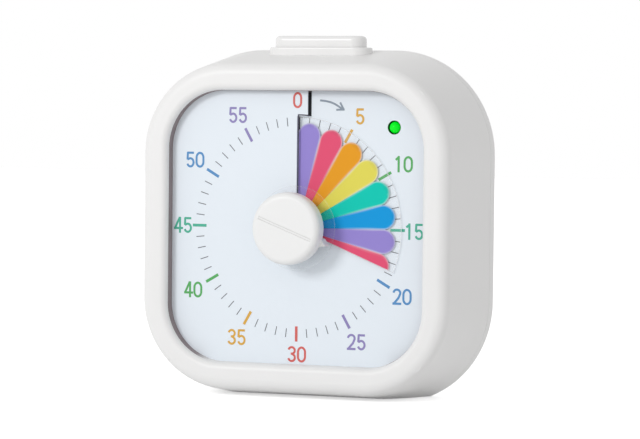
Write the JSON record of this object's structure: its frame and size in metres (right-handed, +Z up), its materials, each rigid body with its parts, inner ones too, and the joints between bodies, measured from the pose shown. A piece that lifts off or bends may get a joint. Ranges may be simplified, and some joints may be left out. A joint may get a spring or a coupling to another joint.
{
  "type": "visual countdown timer",
  "caption": "Square desk countdown timer whose coloured film disc winds out through a slit in the dial as its knob is turned, with its geared movement, cells and switches.",
  "frame": {"origin": "middle of the flat base the case stands on", "axes": "+Z up, -Y towards the user who reads the dial, +Y towards the battery door, +X to the user's right"},
  "size_m": [0.1102, 0.038, 0.1119],
  "materials": {
    "case_plastic": "satin",
    "button_plastic": "gloss",
    "card": "matt print",
    "film": "printed clear film",
    "clear_film": "clear polyester",
    "clamp_plastic": "matt warm grey",
    "lead_sleeve": "insulated wire",
    "capacitor_sleeve": "printed sleeve",
    "spacer_plastic": "matt",
    "chassis_plastic": "matt",
    "gear_plastic": "natural acetal",
    "dark_plastic": "matt",
    "steel": "zinc plated",
    "brass": "turned",
    "lamination": "oxide",
    "winding": "enamelled copper wire",
    "board": "solder mask",
    "lamp": "tinted epoxy",
    "cell_label": "printed sleeve",
    "knob_plastic": "fine texture"
  },
  "bodies": {
    "case": {"front_housing": "case_plastic", "rear_cover": "case_plastic", "cover_screws": "steel", "button_collar": "button_plastic", "push_switch": "steel", "dial_card": "card", "dial_clamp": "clamp_plastic", "dial_spacer": "spacer_plastic", "spindle_bush": "brass", "chassis": "chassis_plastic", "chassis_screws": "steel", "stator": "lamination", "coil_bobbin": "dark_plastic", "motor_coil": "winding", "motor_leads": "lead_sleeve", "bridge": "chassis_plastic", "bridge_screws": "steel", "circuit_board": "board", "board_screws": "steel", "chip_drop": "dark_plastic", "chip_resistors": "dark_plastic", "capacitor": "capacitor_sleeve", "crystal": "steel", "indicator_lamp": "lamp", "buzzer": "dark_plastic", "slide_switch": "steel", "cells": "cell_label", "cell_caps": "steel", "positive_plates": "steel", "negative_springs": "steel", "cell_leads": "lead_sleeve"},
    "knob_spindle": {"knob": "knob_plastic", "disc_washer": "clear_film", "spindle": "steel", "clutch_spring": "brass", "spindle_clip": "steel"},
    "disc": {"color_disc": "film"},
    "centre_gear": {"centre_wheel": "gear_plastic"},
    "third_gear": {"third_wheel": "gear_plastic"},
    "fourth_gear": {"fourth_wheel": "gear_plastic"},
    "motor_rotor": {"rotor": "dark_plastic", "rotor_magnet": "lamination"},
    "button": {"top_button": "button_plastic", "switch_plunger": "dark_plastic"},
    "slider": {"sound_slider": "dark_plastic"},
    "door": {"battery_door": "case_plastic"}
  },
  "joints": [
    {"name": "knob_turn", "type": "hinge", "parent": "case", "child": "knob_spindle", "pos_m": [0, 0, 0.0525], "axis": [0, 1, 0], "range_deg": [-112.2, 247.8]},
    {"name": "disc_advance", "type": "slide", "parent": "knob_spindle", "child": "disc", "axis": [0, -1, 0], "range_m": [-0.00039, 0.00084]},
    {"name": "centre_turn", "type": "hinge", "parent": "case", "child": "centre_gear", "pos_m": [0, 0, 0.0525], "axis": [0, 1, 0], "range_deg": [-112.5, 248.1]},
    {"name": "third_turn", "type": "hinge", "parent": "case", "child": "third_gear", "pos_m": [-0.01102, 0, 0.04614], "axis": [0, 1, 0], "range_deg": [-1984, 900]},
    {"name": "fourth_turn", "type": "hinge", "parent": "case", "child": "fourth_gear", "pos_m": [-0.01995, 0, 0.0513], "axis": [0, 1, 0], "range_deg": [-6740, 14880]},
    {"name": "rotor_turn", "type": "hinge", "parent": "case", "child": "motor_rotor", "pos_m": [-0.02287, 0, 0.05931], "axis": [0, 1, 0], "range_deg": [-89300, 40500]},
    {"name": "button_press", "type": "slide", "parent": "case", "child": "button", "axis": [0, 0, -1], "range_m": [0, 0.001], "stiffness_N_per_m": 1500, "springref_m": -0.0008},
    {"name": "sound_slide", "type": "slide", "parent": "case", "child": "slider", "axis": [1, 0, 0], "range_m": [0, 0.003]},
    {"name": "door_lift", "type": "slide", "parent": "case", "child": "door", "axis": [0, 1, 0], "range_m": [0, 0.012]}
  ],
  "couplings": [
    {"joint": "disc_advance", "follows": "knob_turn", "m_per_rad": 0.00019099},
    {"joint": "centre_turn", "follows": "knob_turn", "ratio": 1},
    {"joint": "third_turn", "follows": "knob_turn", "ratio": -8},
    {"joint": "fourth_turn", "follows": "knob_turn", "ratio": 60},
    {"joint": "rotor_turn", "follows": "knob_turn", "ratio": -360}
  ]
}
